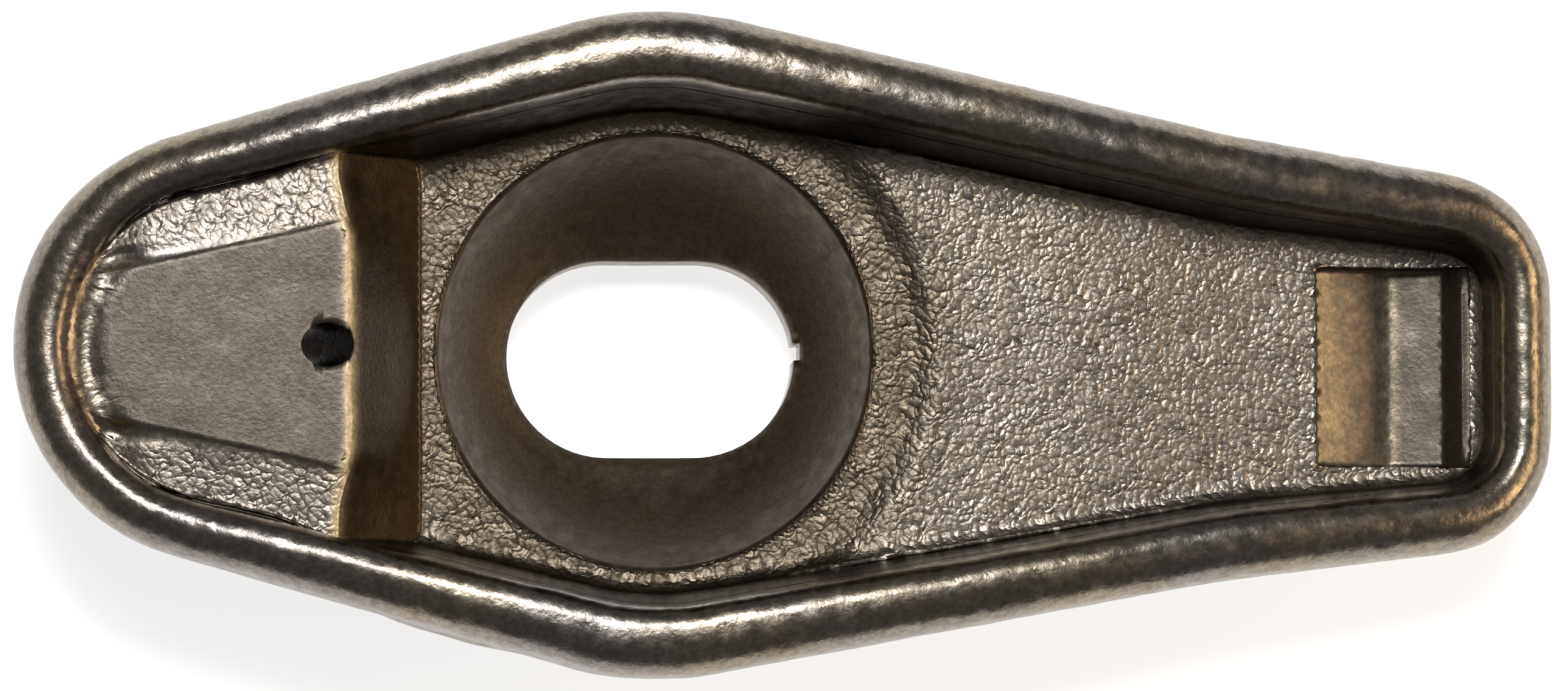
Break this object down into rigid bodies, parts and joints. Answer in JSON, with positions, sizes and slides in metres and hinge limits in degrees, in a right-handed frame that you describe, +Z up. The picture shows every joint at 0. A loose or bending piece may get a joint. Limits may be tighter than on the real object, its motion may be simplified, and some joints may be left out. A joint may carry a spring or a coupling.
{
  "type": "rocker arm",
  "caption": "Pressed steel rocker arm for a ball-stud valve train: open boat-shaped channel with a rounded rim, ball seat, stud slot, pushrod cup and curved valve pad.",
  "frame": {"origin": "centre of the pivot ball that the seat takes", "axes": "+X along the arm to the valve tip, +Y across the arm, +Z up the stud, out of the open side"},
  "size_m": [0.0869, 0.0372, 0.0208],
  "materials": {
    "steel": "dark oiled pressed steel, satin, with a peened floor and a smooth rolled rim"
  },
  "bodies": {
    "root": {"rocker_arm": "steel"}
  },
  "joints": []
}
